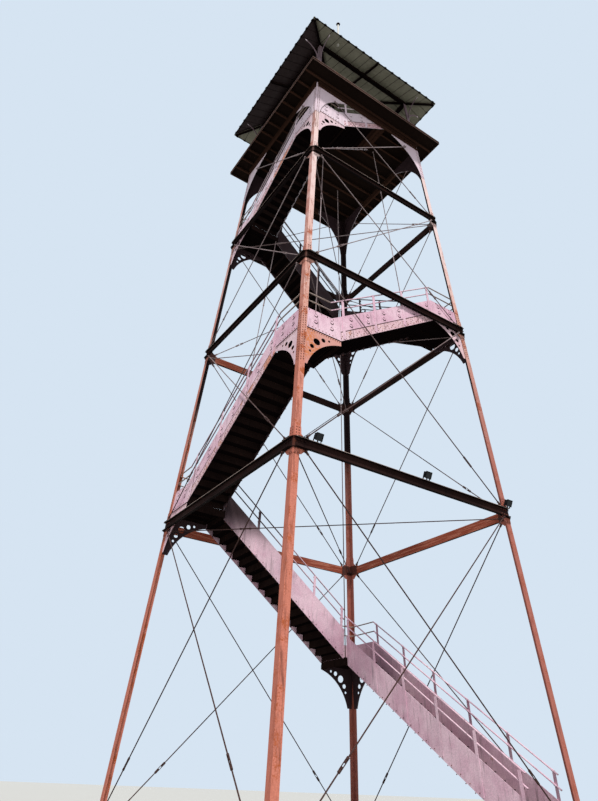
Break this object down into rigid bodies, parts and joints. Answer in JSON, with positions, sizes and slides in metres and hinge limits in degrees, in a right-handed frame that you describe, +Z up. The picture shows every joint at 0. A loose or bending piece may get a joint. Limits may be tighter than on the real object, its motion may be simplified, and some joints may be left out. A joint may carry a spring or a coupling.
{
  "type": "fire lookout tower",
  "caption": "Open steel fire lookout tower: four leaning legs with strut rings and tie rods, an outer stair that winds up to a roofed deck.",
  "frame": {"origin": "centre of the tower on the ground, at the underside of the base plates", "axes": "+Z up, -Y out of the face that the last flight climbs (the sunlit right-hand face in the picture), +X to the right seen from outside that face"},
  "size_m": [7.912, 7.912, 25.781],
  "materials": {
    "leg_paint": "faded red-oxide paint with rust",
    "strut_paint": "dull dark red-brown paint",
    "rod_paint": "dull red-brown paint, worn",
    "dark_paint": "dull dark brown paint, dirty",
    "side_paint": "chalky faded pink paint",
    "bracket_paint": "chalky paint with orange rust",
    "deck_board": "dark weathered boards",
    "roof_metal": "dull grey-green sheet",
    "pipe_paint": "white paint",
    "lamp_case": "black paint"
  },
  "bodies": {
    "root": {"leg_front_left": "leg_paint", "leg_front_right": "leg_paint", "leg_back_right": "leg_paint", "leg_back_left": "leg_paint", "base_plates": "strut_paint", "strut_ring_low": "strut_paint", "strut_ring_mid": "strut_paint", "strut_ring_high": "strut_paint", "corner_collars": "strut_paint", "corner_gussets": "leg_paint", "tie_rods_front": "rod_paint", "tie_rods_right": "rod_paint", "tie_rods_back": "rod_paint", "tie_rods_left": "rod_paint", "level_ties": "rod_paint", "landing_hangers": "rod_paint", "treads_1": "dark_paint", "treads_2": "dark_paint", "treads_3": "dark_paint", "treads_4": "dark_paint", "treads_5": "dark_paint", "treads_6": "dark_paint", "treads_7": "dark_paint", "treads_8": "dark_paint", "stair_sides_1": "side_paint", "stair_sides_2": "side_paint", "stair_sides_3": "side_paint", "stair_sides_4": "side_paint", "stair_sides_5": "side_paint", "stair_sides_6": "side_paint", "stair_sides_7": "side_paint", "stair_sides_8": "side_paint", "landing_floors": "dark_paint", "landing_brackets": "bracket_paint", "landing_parapets": "side_paint", "deck_floor": "deck_board", "deck_frame": "dark_paint", "deck_spandrels": "side_paint", "deck_railing": "side_paint", "roof_posts": "side_paint", "roof_braces": "side_paint", "roof_frame": "dark_paint", "roof_sheets": "roof_metal", "vent_pipe": "pipe_paint", "floodlights": "lamp_case"}
  },
  "joints": []
}
